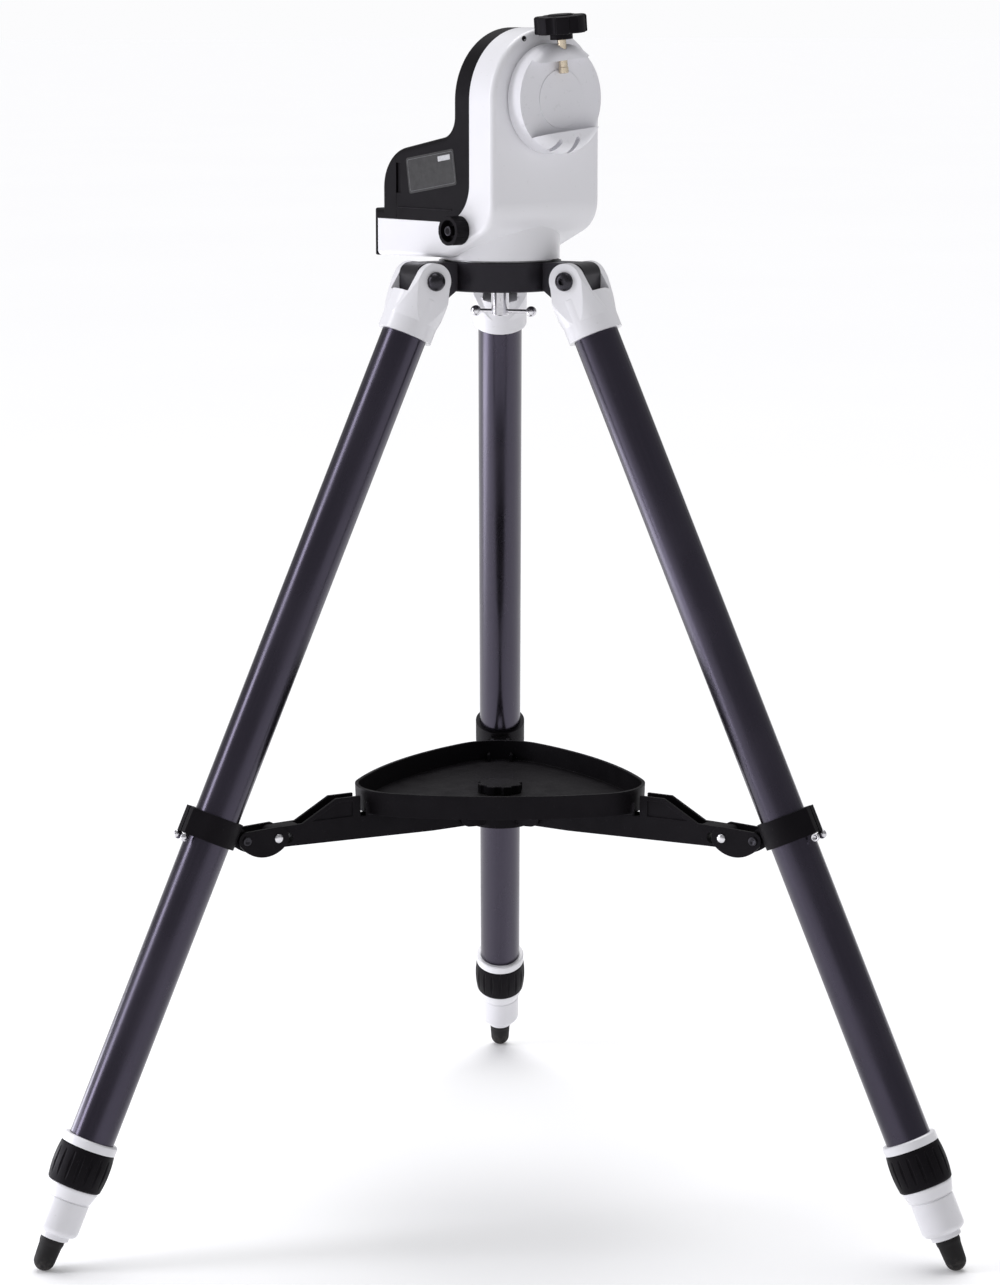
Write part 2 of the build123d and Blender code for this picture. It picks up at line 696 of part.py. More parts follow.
panel_x = -23.0
panel_z = 729.0
panel_length = 50.0
panel_height = 24.0

with BuildPart() as rear_cover:
    add(outer_body)
    add(inner_body, mode=Mode.SUBTRACT)
    add(cover_block, mode=Mode.INTERSECT)
    add(door_block, mode=Mode.SUBTRACT)
    with Locations((panel_x, half_width, panel_z)):
        Box(panel_length, 12, panel_height, mode=Mode.SUBTRACT)
    # finger recesses in front of the battery door
    with Locations((door_front + 2.5, half_width, 736), (door_front + 2.5, -half_width, 736)):
        Box(5.0, 2.8, 21, mode=Mode.SUBTRACT)
    with BuildSketch(Plane.YZ.offset(rear_face - 1)):
        with Locations(*screw_places):
            Circle(1.6)
        with Locations((0, axis_height)):
            Circle(6 + fit)
    extrude(amount=5, mode=Mode.SUBTRACT)
save(rear_cover.part, "rear_cover")

with BuildPart() as battery_door:
    add(outer_body)
    add(inner_body, mode=Mode.SUBTRACT)
    add(side_block([(-120, 600), (door_split - gap, 600), (door_split - gap, seam_height + gap),
                    (door_front - gap, seam_height + gap), (door_front - gap, 900), (-120, 900)]),
        mode=Mode.INTERSECT)
save(battery_door.part, "battery_door")

with BuildPart() as housing_screws:
    with BuildSketch(Plane.YZ.offset(rear_face - 1.6)):
        with Locations(*screw_places):
            Circle(2.9)
    extrude(amount=1.6)
    with BuildSketch(Plane.YZ.offset(rear_face)):
        with Locations(*screw_places):
            Circle(1.5)
    extrude(amount=20)
    with BuildSketch(Plane.YZ.offset(rear_face - 1.6)):
        for place in screw_places:
            with Locations(place):
                Rectangle(3.4, 0.7)
                Rectangle(0.7, 3.4)
    extrude(amount=0.8, mode=Mode.SUBTRACT)
save(housing_screws.part, "housing_screws")

# ================================================================ electrics
switch_x = 14.0               # switch, sockets and jack along the panel from its centre
socket_places = (-7.0, 3.0)
jack_x = -18.0
board_y = 41.0

with BuildPart() as control_panel:
    with Locations((panel_x, half_width - 1.2, panel_z)):
        Box(panel_length - 0.2, 2.8, panel_height - 0.2)
    with Locations((panel_x, half_width - shell_wall - 1, panel_z)):
        Box(panel_length + 4, 2, panel_height + 3)
    with Locations((panel_x - 23, board_y + 3.3, panel_z + 9), (panel_x + 23, board_y + 3.3, panel_z + 9),
                   (panel_x - 23, board_y + 3.3, panel_z - 9), (panel_x + 23, board_y + 3.3, panel_z - 9)):
        Box(3, 5, 3)
    for place in socket_places:
        with Locations((panel_x + place, half_width, panel_z)):
            Box(7, 5, 6.5, mode=Mode.SUBTRACT)
    with BuildSketch(Plane.XZ.offset(-half_width - 1)):
        with Locations((panel_x + jack_x, panel_z)):
            Circle(3.2)
            Circle(1.0, mode=Mode.SUBTRACT)
    extrude(amount=4, mode=Mode.SUBTRACT)
    with Locations((panel_x + switch_x, half_width, panel_z)):
        Box(14.2, 20, 9.2, mode=Mode.SUBTRACT)
save(control_panel.part, "control_panel")

with BuildPart() as power_switch:
    with BuildSketch(Plane.XY.offset(panel_z - 4.3)):
        with Locations((panel_x + switch_x, half_width)):
            Polygon((-6.1, -3.5), (6.1, -3.5), (6.1, 1.6), (0, 0.6), (-6.1, 2.0), align=None)
    extrude(amount=8.6)
    with BuildSketch(Plane.XY.offset(panel_z)):
        with Locations((panel_x + switch_x, half_width - 2.5)):
            Circle(1.5)
    extrude(amount=4.5, both=True)
save(power_switch.part, "power_switch")

with BuildPart() as control_board:
    with Locations((panel_x, board_y, panel_z)):
        Box(panel_length, 1.6, panel_height + 2)
    with Locations((panel_x - 12, board_y - 1.8, panel_z + 2)):
        Box(12, 2, 12)
    with Locations((panel_x + 10, board_y - 1.8, panel_z - 4), (panel_x + 10, board_y - 1.8, panel_z + 6)):
        Box(9, 2, 5)
save(control_board.part, "control_board")

cell_radius = 7.1
cell_pitch = 14.6
holder_x = -31.5
cells_x = [-55.0 + cell_pitch * column for column in range(4)]
cells_z = [714.5 + cell_radius, 714.5 + cell_radius + cell_pitch]

with BuildPart() as battery_holder:
    with Locations((holder_x, 0, 713.0)):
        Box(60, 62, 3)
    with Locations((holder_x, 0, 711.5)):
        Box(60, 88, 1)
    with Locations((holder_x, -27.5, 726), (holder_x, 27.5, 726)):
        Box(60, 3, 26)
save(battery_holder.part, "battery_holder")

with BuildPart() as battery_cells:
    with BuildSketch(Plane.XZ.offset(-24.5)):
        for x in cells_x:
            for z in cells_z:
                with Locations((x, z)):
                    Circle(cell_radius)
    extrude(amount=49)
    with BuildSketch(Plane.XZ.offset(24.5)):
        for x in cells_x:
            for z in cells_z:
                with Locations((x, z)):
                    Circle(2.7)
    extrude(amount=1.2)
save(battery_cells.part, "battery_cells")

# ================================================================ altitude drive and saddle
altitude_axis = Plane(origin=(0, 0, axis_height), x_dir=(0, 1, 0), z_dir=(1, 0, 0))
altitude_worm_axis = Plane(origin=(motor_axis_x, 0, motor_axis_height), x_dir=(1, 0, 0), z_dir=(0, 1, 0))
save(worm_wheel(altitude_axis, 22, 29, 8.0), "altitude_worm_wheel")
save(worm(altitude_worm_axis, -12, 28), "altitude_worm")
save(gear_motor(altitude_worm_axis, 10.8, 19.5, 24), "altitude_motor")

cap_face = front_face + saddle_floor + 0.5
altitude_shaft = turned(altitude_axis, [
    (0, 13), (8, 13), (8, front_face + saddle_floor), (20, front_face + saddle_floor),
    (20, cap_face - 0.2), (19.8, cap_face), (0, cap_face)])
save(altitude_shaft, "altitude_shaft")

saddle_plane = Plane(
    origin=(saddle_back, 0, axis_height),
    x_dir=(0, cos(radians(saddle_tilt)), sin(radians(saddle_tilt))), z_dir=(1, 0, 0))
# looks along the channel: local x is +X of the frame, local y is up the saddle
channel_view = Plane(origin=saddle_plane.origin, x_dir=saddle_plane.z_dir, z_dir=saddle_plane.x_dir * -1)
up_saddle = saddle_plane.y_dir
floor_depth = saddle_floor - gap
front_depth = saddle_front - gap
screw_depth = (floor_depth + front_depth) / 2 + 0.1
clamp_radius = 3.0

with BuildPart() as saddle:
    with BuildSketch(saddle_plane):
        Circle(saddle_radius)
    extrude(amount=front_depth)
    fillet(saddle.faces().sort_by(Axis.X)[-1].edges(), 8.0)
    chamfer(saddle.faces().sort_by(Axis.X)[0].edges(), 1.0)
    # dovetail channel, undercut, open at both ends
    with BuildSketch(channel_view):
        with BuildLine():
            Polyline((floor_depth, channel_middle - channel_half),
                     (floor_depth, channel_middle + channel_half),
                     (front_depth + 1, channel_middle + lip_half),
                     (front_depth + 1, channel_middle - lip_half), close=True)
        make_face()
    extrude(amount=60, both=True, mode=Mode.SUBTRACT)
    with BuildSketch(saddle_plane.offset(-1)):
        Circle(8)
    extrude(amount=40, mode=Mode.SUBTRACT)
    # slanting grooves in the fixed jaw and the clamp screw's hole in the upper jaw
    with BuildSketch(saddle_plane.offset(floor_depth + 1.8)):
        with Locations((-14.1, -30.7)):
            SlotOverall(12, 3.6, rotation=44)
        with Locations((2.2, -32.2)):
            SlotOverall(14, 3.6, rotation=56)
    extrude(amount=10, mode=Mode.SUBTRACT)
    jaw_hole = Plane(origin=saddle_plane.origin + saddle_plane.z_dir * screw_depth,
                     x_dir=saddle_plane.x_dir, z_dir=up_saddle)
    with BuildSketch(jaw_hole.offset(20)):
        Circle(clamp_radius + fit)
    extrude(amount=30, mode=Mode.SUBTRACT)
save(saddle.part, "saddle")

with BuildPart() as clamp_screw:
    add(turned(jaw_hole, [(0, 17.5), (3.0, 17.5), (3.4, 17.9), (3.4, 21.5), (3.0, 21.8),
                          (clamp_radius, 52), (0, 52)]))
save(clamp_screw.part, "clamp_screw")

knob_low = 44.5
knob_high = 56.5
with BuildPart() as clamp_knob:
    with BuildSketch(jaw_hole.offset(knob_low)):
        Circle(18.0)
        with PolarLocations(20.2, 7):
            Circle(4.6, mode=Mode.SUBTRACT)
    extrude(amount=knob_high - knob_low)
    fillet(clamp_knob.faces().sort_by(Axis(jaw_hole.origin, jaw_hole.z_dir))[-1].edges(), 1.6)
    fillet(clamp_knob.faces().sort_by(Axis(jaw_hole.origin, jaw_hole.z_dir))[0].edges(), 1.0)
    with BuildSketch(jaw_hole.offset(40.5)):
        Circle(7.8)
    extrude(amount=4.5)
    with BuildSketch(jaw_hole.offset(40)):
        Circle(clamp_radius)
    extrude(amount=12, mode=Mode.SUBTRACT)
save(clamp_knob.part, "clamp_knob")

# ================================================================ clutch and lock knobs
clutch_plane = Plane(origin=(rear_face - gap, 0, axis_height), x_dir=(0, -1, 0), z_dir=(-1, 0, 0))
with BuildPart() as altitude_clutch_knob:
    with BuildSketch(clutch_plane.offset(5)):
        Circle(22.5)
        with PolarLocations(25.1, 8):
            Circle(5, mode=Mode.SUBTRACT)
    extrude(amount=15)
    fillet(altitude_clutch_knob.faces().sort_by(Axis.X)[0].edges(), 2.0)
    with BuildSketch(clutch_plane):
        Circle(11)
    extrude(amount=6)
    with BuildSketch(clutch_plane.offset(-3)):
        Circle(6)
    extrude(amount=4)
save(altitude_clutch_knob.part, "altitude_clutch_knob")

lock_plane = Plane(origin=(azimuth_lock[0], -half_width - gap, azimuth_lock[1]),
                   x_dir=(1, 0, 0), z_dir=(0, -1, 0))
with BuildPart() as azimuth_lock_knob:
    with BuildSketch(lock_plane):
        Circle(10.0)
        with PolarLocations(10.7, 16):
            Circle(0.9, mode=Mode.SUBTRACT)
    extrude(amount=11)
    with BuildSketch(lock_plane.offset(5)):
        Circle(7.6)
        Circle(3.4, mode=Mode.SUBTRACT)
    extrude(amount=7, mode=Mode.SUBTRACT)
    with BuildSketch(lock_plane.offset(-8)):
        Circle(3)
    extrude(amount=9)
save(azimuth_lock_knob.part, "azimuth_lock_knob")
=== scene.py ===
import math

import bmesh
import bpy
from mathutils import Matrix, Vector


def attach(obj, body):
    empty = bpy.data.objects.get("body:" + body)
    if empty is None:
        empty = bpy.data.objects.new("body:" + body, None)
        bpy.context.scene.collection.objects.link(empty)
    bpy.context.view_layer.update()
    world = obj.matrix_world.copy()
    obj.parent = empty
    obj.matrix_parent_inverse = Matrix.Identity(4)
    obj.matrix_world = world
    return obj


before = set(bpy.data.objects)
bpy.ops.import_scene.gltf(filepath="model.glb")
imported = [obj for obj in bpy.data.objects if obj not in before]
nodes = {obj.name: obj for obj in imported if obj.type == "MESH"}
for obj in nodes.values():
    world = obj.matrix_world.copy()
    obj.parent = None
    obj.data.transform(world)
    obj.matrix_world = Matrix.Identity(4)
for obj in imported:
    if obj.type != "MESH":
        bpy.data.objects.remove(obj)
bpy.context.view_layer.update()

MM = 0.001

# Places in the frame of the CAD model, in metres and radians; LEG_AZIMUTHS is in degrees.
LEG_AZIMUTHS = (18.5, 138.5, 258.5)
LEG_LEAN = math.radians(24.54)
LEG_RADIUS = 0.06013
LEG_HEIGHT = 0.66592
ALTITUDE_AXIS = 0.7918
SADDLE_TILT = math.radians(5.5)
SIDES = (-1, 1)

CAMERA_LENS = 97.96
CAMERA_PLACE = (1.8490, -1.6359, 0.8426)
CAMERA_AZIMUTH = math.radians(48.5)
CAMERA_DROP = math.radians(10.04)

FLOOR_HALF = 150.0
FLOOR_GLOW = 0.15
WORLD_STRENGTH = 0.35
SUN_STRENGTH = 2.1
SUN_SPREAD = math.radians(50)
SUN_TURN = (math.radians(-12), math.radians(-14), 0)
KEY_PLACE = (-1.9, -2.9, 1.7)
KEY_TARGET = (0, 0, 0.45)
KEY_POWER = 56
LOW_CARD_PLACE = (-0.62, -0.62, 0.10)
LOW_CARD_TARGET = (0.05, 0.05, 0.35)
LOW_CARD_POWER = 3.0


# ------------------------------------------------------------------ camera
def make_camera():
    """The photograph's view: from the saddle's left, ten degrees above level."""
    data = bpy.data.cameras.new("camera")
    data.lens = CAMERA_LENS
    data.sensor_width = 36.0
    data.clip_start = 0.05
    data.clip_end = 500.0
    camera = bpy.data.objects.new("camera", data)
    camera.location = CAMERA_PLACE
    camera.rotation_euler = (math.radians(90) - CAMERA_DROP, 0.0, CAMERA_AZIMUTH)
    bpy.context.scene.collection.objects.link(camera)
    bpy.context.scene.camera = camera


make_camera()


# ------------------------------------------------------------------ materials
class Finish:
    """A Principled material that is built up node by node from object coordinates."""

    def __init__(self, name, colour, roughness, metallic=0.0, specular=0.5, coat=0.0,
                 coat_roughness=0.1, tint=None, rotation=None):
        self.material = bpy.data.materials.new(name)
        self.material.use_nodes = True
        self.material.diffuse_color = (*colour, 1.0)
        self.tree = self.material.node_tree
        self.tree.nodes.clear()
        output = self.add("ShaderNodeOutputMaterial")
        self.shader = self.add("ShaderNodeBsdfPrincipled")
        self.tree.links.new(self.shader.outputs["BSDF"], output.inputs["Surface"])
        self.shader.inputs["Metallic"].default_value = metallic
        self.shader.inputs["Specular IOR Level"].default_value = specular
        self.shader.inputs["Coat Weight"].default_value = coat
        self.shader.inputs["Coat Roughness"].default_value = coat_roughness
        if tint:
            self.shader.inputs["Specular Tint"].default_value = (*tint, 1.0)
        self.place = self.add("ShaderNodeTexCoord").outputs["Object"]
        if rotation:
            turn = self.add("ShaderNodeMapping")
            turn.vector_type = "TEXTURE"
            turn.inputs["Rotation"].default_value = rotation
            self.link(self.place, turn.inputs["Vector"])
            self.place = turn.outputs["Vector"]
        self.colour = self.add("ShaderNodeRGB")
        self.colour.outputs[0].default_value = (*colour, 1.0)
        self.colour = self.colour.outputs[0]
        self.rough = self.add("ShaderNodeValue")
        self.rough.outputs[0].default_value = roughness
        self.rough = self.rough.outputs[0]
        self.normal = None

    def add(self, kind):
        return self.tree.nodes.new(kind)

    def link(self, start, end):
        self.tree.links.new(start, end)

    def noise(self, scale, detail, stretch=None):
        """Noise of that many cells a metre; stretch scales the three axes."""
        texture = self.add("ShaderNodeTexNoise")
        texture.inputs["Scale"].default_value = scale
        texture.inputs["Detail"].default_value = detail
        place = self.place
        if stretch:
            mapping = self.add("ShaderNodeMapping")
            mapping.inputs["Scale"].default_value = stretch
            self.link(place, mapping.inputs["Vector"])
            place = mapping.outputs["Vector"]
        self.link(place, texture.inputs["Vector"])
        return texture.outputs["Fac"]

    def band(self, value, low, high, to_low=0.0, to_high=1.0):
        """value from low..high spread over to_low..to_high, and held outside."""
        node = self.add("ShaderNodeMapRange")
        node.inputs["From Min"].default_value = low
        node.inputs["From Max"].default_value = high
        node.inputs["To Min"].default_value = to_low
        node.inputs["To Max"].default_value = to_high
        self.link(value, node.inputs["Value"])
        return node.outputs["Result"]

    def tone(self, mask, colour):
        """Mix colour into the base where mask is 1."""
        mix = self.add("ShaderNodeMix")
        mix.data_type = "RGBA"
        self.link(mask, mix.inputs["Factor"])
        self.link(self.colour, mix.inputs["A"])
        mix.inputs["B"].default_value = (*colour, 1.0)
        self.colour = mix.outputs["Result"]

    def roughen(self, mask, amount):
        """Add amount to the roughness where mask is 1."""
        node = self.add("ShaderNodeMath")
        node.operation = "MULTIPLY_ADD"
        self.link(mask, node.inputs[0])
        node.inputs[1].default_value = amount
        self.link(self.rough, node.inputs[2])
        self.rough = node.outputs[0]

    def relief(self, height, depth, strength):
        """Bump of that depth in metres."""
        bump = self.add("ShaderNodeBump")
        bump.inputs["Distance"].default_value = depth
        bump.inputs["Strength"].default_value = strength
        self.link(height, bump.inputs["Height"])
        if self.normal:
            self.link(self.normal, bump.inputs["Normal"])
        self.normal = bump.outputs["Normal"]

    def soft_edges(self, radius):
        """Rounds the sharp edges in the shading; returns 1 on the edges and 0 elsewhere."""
        bevel = self.add("ShaderNodeBevel")
        bevel.samples = 6
        bevel.inputs["Radius"].default_value = radius
        geometry = self.add("ShaderNodeNewGeometry")
        facing = self.add("ShaderNodeVectorMath")
        facing.operation = "DOT_PRODUCT"
        self.link(bevel.outputs["Normal"], facing.inputs[0])
        self.link(geometry.outputs["Normal"], facing.inputs[1])
        self.normal = bevel.outputs["Normal"]
        return self.band(facing.outputs["Value"], 0.985, 0.90)

    def done(self):
        self.link(self.colour, self.shader.inputs["Base Color"])
        self.link(self.rough, self.shader.inputs["Roughness"])
        if self.normal:
            self.link(self.normal, self.shader.inputs["Normal"])
        return self.material


def white_plastic():
    """Moulded ABS, painted: faint orange peel, a trace of handling marks."""
    finish = Finish("white_plastic", (0.80, 0.795, 0.825), 0.30, specular=0.45, coat=0.25,
                    coat_roughness=0.16)
    edge = finish.soft_edges(0.7 * MM)
    clouds = finish.band(finish.noise(9, 2), 0.35, 0.75, to_high=0.55)
    finish.tone(clouds, (0.775, 0.765, 0.80))
    specks = finish.band(finish.noise(420, 2), 0.71, 0.76, to_high=0.35)
    finish.tone(specks, (0.62, 0.61, 0.62))
    finish.tone(finish.band(edge, 0.0, 1.0, to_high=0.35), (0.88, 0.88, 0.90))
    finish.roughen(finish.band(finish.noise(38, 4), 0.35, 0.70), 0.10)
    finish.relief(finish.noise(520, 2), 0.02 * MM, 0.5)
    finish.relief(finish.noise(1900, 2), 0.012 * MM, 0.5)
    return finish.done()


def white_metal():
    """Powder-coated die casting: finer and flatter than the shell, with sharper edges."""
    finish = Finish("saddle_metal", (0.76, 0.755, 0.79), 0.36, specular=0.45, coat=0.15,
                    coat_roughness=0.22)
    edge = finish.soft_edges(0.45 * MM)
    clouds = finish.band(finish.noise(14, 3), 0.35, 0.75, to_high=0.6)
    finish.tone(clouds, (0.72, 0.715, 0.755))
    wear = finish.band(finish.noise(260, 3), 0.64, 0.70, to_high=0.30)
    finish.tone(wear, (0.60, 0.60, 0.62))
    finish.tone(finish.band(edge, 0.0, 1.0, to_high=0.45), (0.86, 0.86, 0.88))
    finish.roughen(finish.band(finish.noise(60, 4), 0.35, 0.70), 0.12)
    finish.relief(finish.noise(1300, 3), 0.018 * MM, 0.7)
    return finish.done()


def black_plastic(name="black_plastic", colour=(0.0042, 0.0036, 0.0042), roughness=0.42,
                  specular=0.10, grain=1500, depth=0.035):
    """Textured black moulding: spark-eroded grain, paler scuffs on the edges, a little dust."""
    finish = Finish(name, colour, roughness, specular=specular, tint=(0.90, 0.86, 1.0))
    edge = finish.soft_edges(0.5 * MM)
    clouds = finish.band(finish.noise(22, 3), 0.35, 0.72, to_high=0.7)
    finish.tone(clouds, tuple(c * 1.7 for c in colour))
    dust = finish.band(finish.noise(640, 3), 0.66, 0.74, to_high=0.5)
    finish.tone(dust, (0.020, 0.018, 0.020))
    scuff = finish.add("ShaderNodeMath")
    scuff.operation = "MULTIPLY"
    finish.link(edge, scuff.inputs[0])
    patches = finish.band(finish.noise(150, 4), 0.45, 0.65, to_low=0.15, to_high=0.8)
    finish.link(patches, scuff.inputs[1])
    finish.tone(scuff.outputs[0], (0.030, 0.028, 0.032))
    finish.roughen(finish.band(finish.noise(70, 4), 0.35, 0.70), 0.16)
    finish.relief(finish.noise(grain, 2), depth * MM, 0.8)
    return finish.done()


def black_tube(name, azimuth):
    """Satin black anodised extrusion, with faint draw lines along the tube."""
    lean = (0.0, -LEG_LEAN, math.radians(azimuth))
    finish = Finish(name, (0.0036, 0.0031, 0.0042), 0.21, specular=0.85, tint=(0.80, 0.72, 1.0),
                    rotation=lean)
    streak = finish.noise(120, 4, stretch=(6.0, 6.0, 0.12))
    finish.tone(finish.band(streak, 0.40, 0.68, to_high=0.8), (0.0075, 0.0062, 0.0085))
    fingers = finish.noise(26, 5, stretch=(1.0, 1.0, 0.5))
    finish.tone(finish.band(fingers, 0.56, 0.70, to_high=0.35), (0.012, 0.010, 0.013))
    finish.roughen(finish.band(fingers, 0.40, 0.66), 0.11)
    scratch = finish.noise(900, 2, stretch=(1.0, 0.18, 0.18))
    finish.tone(finish.band(scratch, 0.755, 0.79, to_high=0.5), (0.06, 0.056, 0.064))
    finish.relief(streak, 0.012 * MM, 0.6)
    finish.relief(finish.noise(1400, 2), 0.010 * MM, 0.5)
    return finish.done()


def bare_metal(name, colour, roughness, brushed=(1.0, 1.0, 1.0), dull=(0.35, 0.34, 0.34)):
    """Turned or plated metal with machining lines, smudges and darker pits."""
    finish = Finish(name, colour, roughness, metallic=1.0)
    edge = finish.soft_edges(0.25 * MM)
    lines = finish.noise(900, 3, stretch=brushed)
    smudges = finish.band(finish.noise(90, 4), 0.45, 0.70, to_high=0.5)
    finish.tone(smudges, tuple(c * 0.72 for c in colour))
    pits = finish.band(finish.noise(700, 2), 0.68, 0.74, to_high=0.6)
    finish.tone(pits, dull)
    worn = finish.band(edge, 0.0, 1.0, to_high=0.5)
    finish.tone(worn, tuple(min(1.0, c * 1.25) for c in colour))
    finish.roughen(finish.band(lines, 0.35, 0.70), 0.14)
    finish.relief(lines, 0.012 * MM, 0.7)
    return finish.done()


def rubber():
    """Moulded rubber: dull, with a dusty bloom near the ground."""
    finish = Finish("rubber_black", (0.0085, 0.0078, 0.0085), 0.62, specular=0.28)
    finish.soft_edges(0.8 * MM)
    bloom = finish.band(finish.noise(60, 4), 0.42, 0.72, to_high=0.8)
    finish.tone(bloom, (0.020, 0.018, 0.019))
    height = finish.add("ShaderNodeSeparateXYZ")
    finish.link(finish.place, height.inputs[0])
    low = finish.band(height.outputs["Z"], 0.012, 0.001)
    dirt = finish.add("ShaderNodeMath")
    dirt.operation = "MULTIPLY"
    finish.link(low, dirt.inputs[0])
    finish.link(finish.band(finish.noise(300, 4), 0.40, 0.62), dirt.inputs[1])
    finish.tone(dirt.outputs[0], (0.055, 0.050, 0.047))
    finish.roughen(finish.band(finish.noise(120, 3), 0.35, 0.65), 0.14)
    finish.relief(finish.noise(1100, 3), 0.05 * MM, 0.8)
    return finish.done()


def painted(name, colour, second, roughness=0.45, scale=300, depth=0.02):
    """Plain coated part with mottling, for the electrics and the label."""
    finish = Finish(name, colour, roughness)
    finish.soft_edges(0.3 * MM)
    finish.tone(finish.band(finish.noise(scale, 4), 0.40, 0.66, to_high=0.8), second)
    finish.roughen(finish.band(finish.noise(scale * 0.4, 3), 0.35, 0.70), 0.15)
    finish.relief(finish.noise(scale * 4, 2), depth * MM, 0.6)
    return finish.done()


MATERIALS = {
    "white_plastic": white_plastic(),
    "saddle_metal": white_metal(),
    "black_plastic": black_plastic(),
    "black_cast": black_plastic("black_cast", (0.0042, 0.0036, 0.0046), 0.30, 0.40,
                                grain=2100, depth=0.02),
    "black_zinc": bare_metal("black_zinc", (0.045, 0.043, 0.050), 0.26, dull=(0.02, 0.02, 0.02)),
    "chrome_steel": bare_metal("chrome_steel", (0.70, 0.69, 0.72), 0.16),
    "bright_tube": bare_metal("bright_tube", (0.66, 0.66, 0.69), 0.28, brushed=(1.0, 1.0, 0.1)),
    "rubber_black": rubber(),
    "brass": bare_metal("brass", (0.66, 0.57, 0.44), 0.22),
    "steel": bare_metal("steel", (0.52, 0.52, 0.54), 0.32),
    "circuit_green": painted("circuit_green", (0.012, 0.085, 0.035), (0.03, 0.14, 0.06)),
    "cell_wrap": painted("cell_wrap", (0.020, 0.022, 0.026), (0.05, 0.05, 0.055), 0.3),
    "switch_red": painted("switch_red", (0.55, 0.018, 0.014), (0.42, 0.012, 0.010), 0.32),
}
TUBE_MATERIALS = [black_tube(f"black_tube_{number}", azimuth)
                  for number, azimuth in enumerate(LEG_AZIMUTHS, start=1)]


def dress_cad_nodes():
    """Every CAD node takes the finish of its own slot; each leg tube has its own draw direction."""
    for name, node in nodes.items():
        for place in node.material_slots:
            slot = place.material.name.split(".")[0]
            if slot == "black_tube":
                place.material = TUBE_MATERIALS[int(name[-1]) - 1]
            else:
                place.material = MATERIALS[slot]


dress_cad_nodes()


# ------------------------------------------------------------------ pieces in mesh code
# All sizes and places of the pieces are in millimetres, in the frame of the CAD model.
TURNED_SEGMENTS = 48
CORNER_STEPS = 6
SAME_PLACE = 1e-7

# Turned pieces, as (radius, height) points.
RIVET = ((2.05, 0), (3.3, 0), (3.3, 0.5), (2.6, 1.1), (1.4, 1.45), (0, 1.55))
LINK_SCREW = ((2.05, 0), (3.2, 0), (3.2, 0.7), (2.8, 1.0), (1.7, 1.0), (1.5, 0.65), (0, 0.55))
COLLAR_HEAD = ((0.1, 0), (3.0, 0), (3.0, 1.7), (2.7, 2.0), (1.5, 2.0), (1.4, 1.0), (0, 1.0))
COLLAR_NUT = ((0.1, 0), (3.1, 0), (3.1, 1.4), (2.6, 1.7), (1.3, 1.8), (1.2, 2.3), (0, 2.3))
LOCK_INSERT = ((2.2, 11.05), (2.3, 11.3), (3.2, 11.3), (3.35, 11.05), (3.35, 10.9), (2.2, 10.9),
               (2.2, 11.05))
LOCK_BORE = ((2.2, 11.02), (1.2, 10.95), (0, 10.93))
CLUTCH_CAP = ((9.4, 0), (9.4, 0.5), (8.9, 0.8), (8.0, 0.55), (0, 0.35))
CLAMP_CAP = ((8.8, 0), (8.8, 0.5), (8.2, 0.9), (0, 0.7))
JACK_RING = ((3.25, -0.2), (3.25, 0.25), (3.6, 0.4), (4.2, 0.3), (4.3, -0.2), (3.25, -0.2))
# Flush black disc whose colour is painted shade for the front screw hole.
FRONT_HOLE = ((1.9, -0.3), (1.9, 0.12), (1.5, 0.2), (1.1, 0.05), (0, 0))

# The label, as width, height, thickness, corner radius and edge radius of each layer; the places
# of its line, field and patch are on the plate.
LABEL_PLACE = (-15.6, -50.03, 741.5)
LABEL_SLOPE = -9.0
LABEL_PLATE = (51.5, 25, 0.16, 2.0, 0.05)
LABEL_LINE = (48.6, 22.2, 0.03, 1.4, 0.01)
LABEL_FIELD = (48.0, 21.6, 0.03, 1.2, 0.01)
LABEL_PATCH = (13.0, 3.6, 0.03, 0.4, 0.01)
LINE_PLACE = (0, -0.16, 0)
FIELD_PLACE = (0, -0.185, 0)
PATCH_PLACE = (15.0, -0.21, 7.4)

LINK_FACE = 9.5
RIVET_PLACE = (183, 284.8)
LINK_SCREW_PLACE = (207.3, 285.6)
CLIP_SIZE = (13, 2.0, 9.5)
CLIP_EDGE = 0.6
CLIP_PLACE = (107.5, 8.4, 297.8)
COLLAR_SCREW_PLACE = (20.5, 4.7, -419.1)
LOCK_PLACE = (15, -50.3, 702)
CLUTCH_CAP_X = -13.1
SADDLE_FACE_X = 49.3
CLAMP_FORWARD = 18.3
CLAMP_TOP = 56.5
SOCKET_XS = (-30.0, -20.0)
PIN_SIZE = (0.5, 1.2, 2.4)
PIN_EDGE = 0.12
PIN_COUNT = 4
PIN_PITCH = 1.2
FIRST_PIN = 1.8
PIN_Y = 48.1
PIN_Z = 729.6
JACK_PLACE = (-41.0, 50.3, 729)
FRONT_HOLE_PLACE = (48.9, -21.3, 832.4)
LIP_SIZE = (58, 0.5, 1.1)
LIP_EDGE = 0.2
LIP_PLACE = (-23.0, 50.15, 715.6)


def shift(x, y, z):
    """Matrix that moves by so many millimetres."""
    return Matrix.Translation((x * MM, y * MM, z * MM))


def turned(degrees, axis):
    """Matrix that turns about a main axis."""
    return Matrix.Rotation(math.radians(degrees), 4, axis)


def leg_frame(azimuth):
    """Matrix whose z runs up a leg tube and x outward, from the tube's axis at the pivot."""
    place = Matrix.Translation((LEG_RADIUS, 0, LEG_HEIGHT))
    return turned(azimuth, "Z") @ place @ Matrix.Rotation(-LEG_LEAN, 4, "Y")


